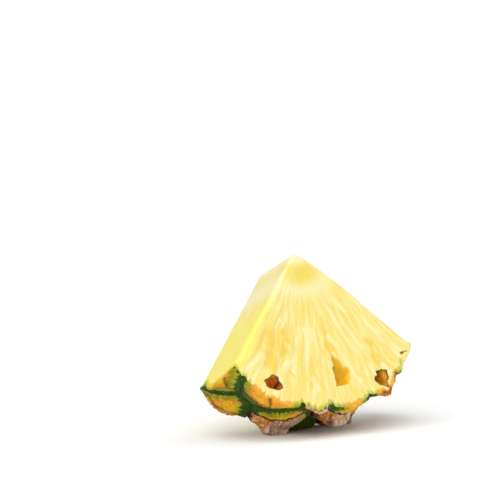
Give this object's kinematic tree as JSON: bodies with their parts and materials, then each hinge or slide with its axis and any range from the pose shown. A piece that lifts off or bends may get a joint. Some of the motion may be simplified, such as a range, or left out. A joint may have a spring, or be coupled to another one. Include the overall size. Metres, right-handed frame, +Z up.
{
  "type": "pineapple wedge",
  "caption": "Quarter wedge of a thick pineapple slice with its core and rind on, standing on the back edge of the rind and leaning back.",
  "frame": {"origin": "middle of the footprint box, in the plane of the flat spot that the wedge rests on", "axes": "+Z up; +X along the width of the front cut; the front cut faces -Y and leans back by about 25 degrees"},
  "size_m": [0.0854, 0.0474, 0.0636],
  "materials": {
    "flesh": "moist, slightly glossy",
    "rind": "waxy and rough"
  },
  "bodies": {
    "root": {"pineapple_wedge": "flesh"}
  },
  "joints": []
}
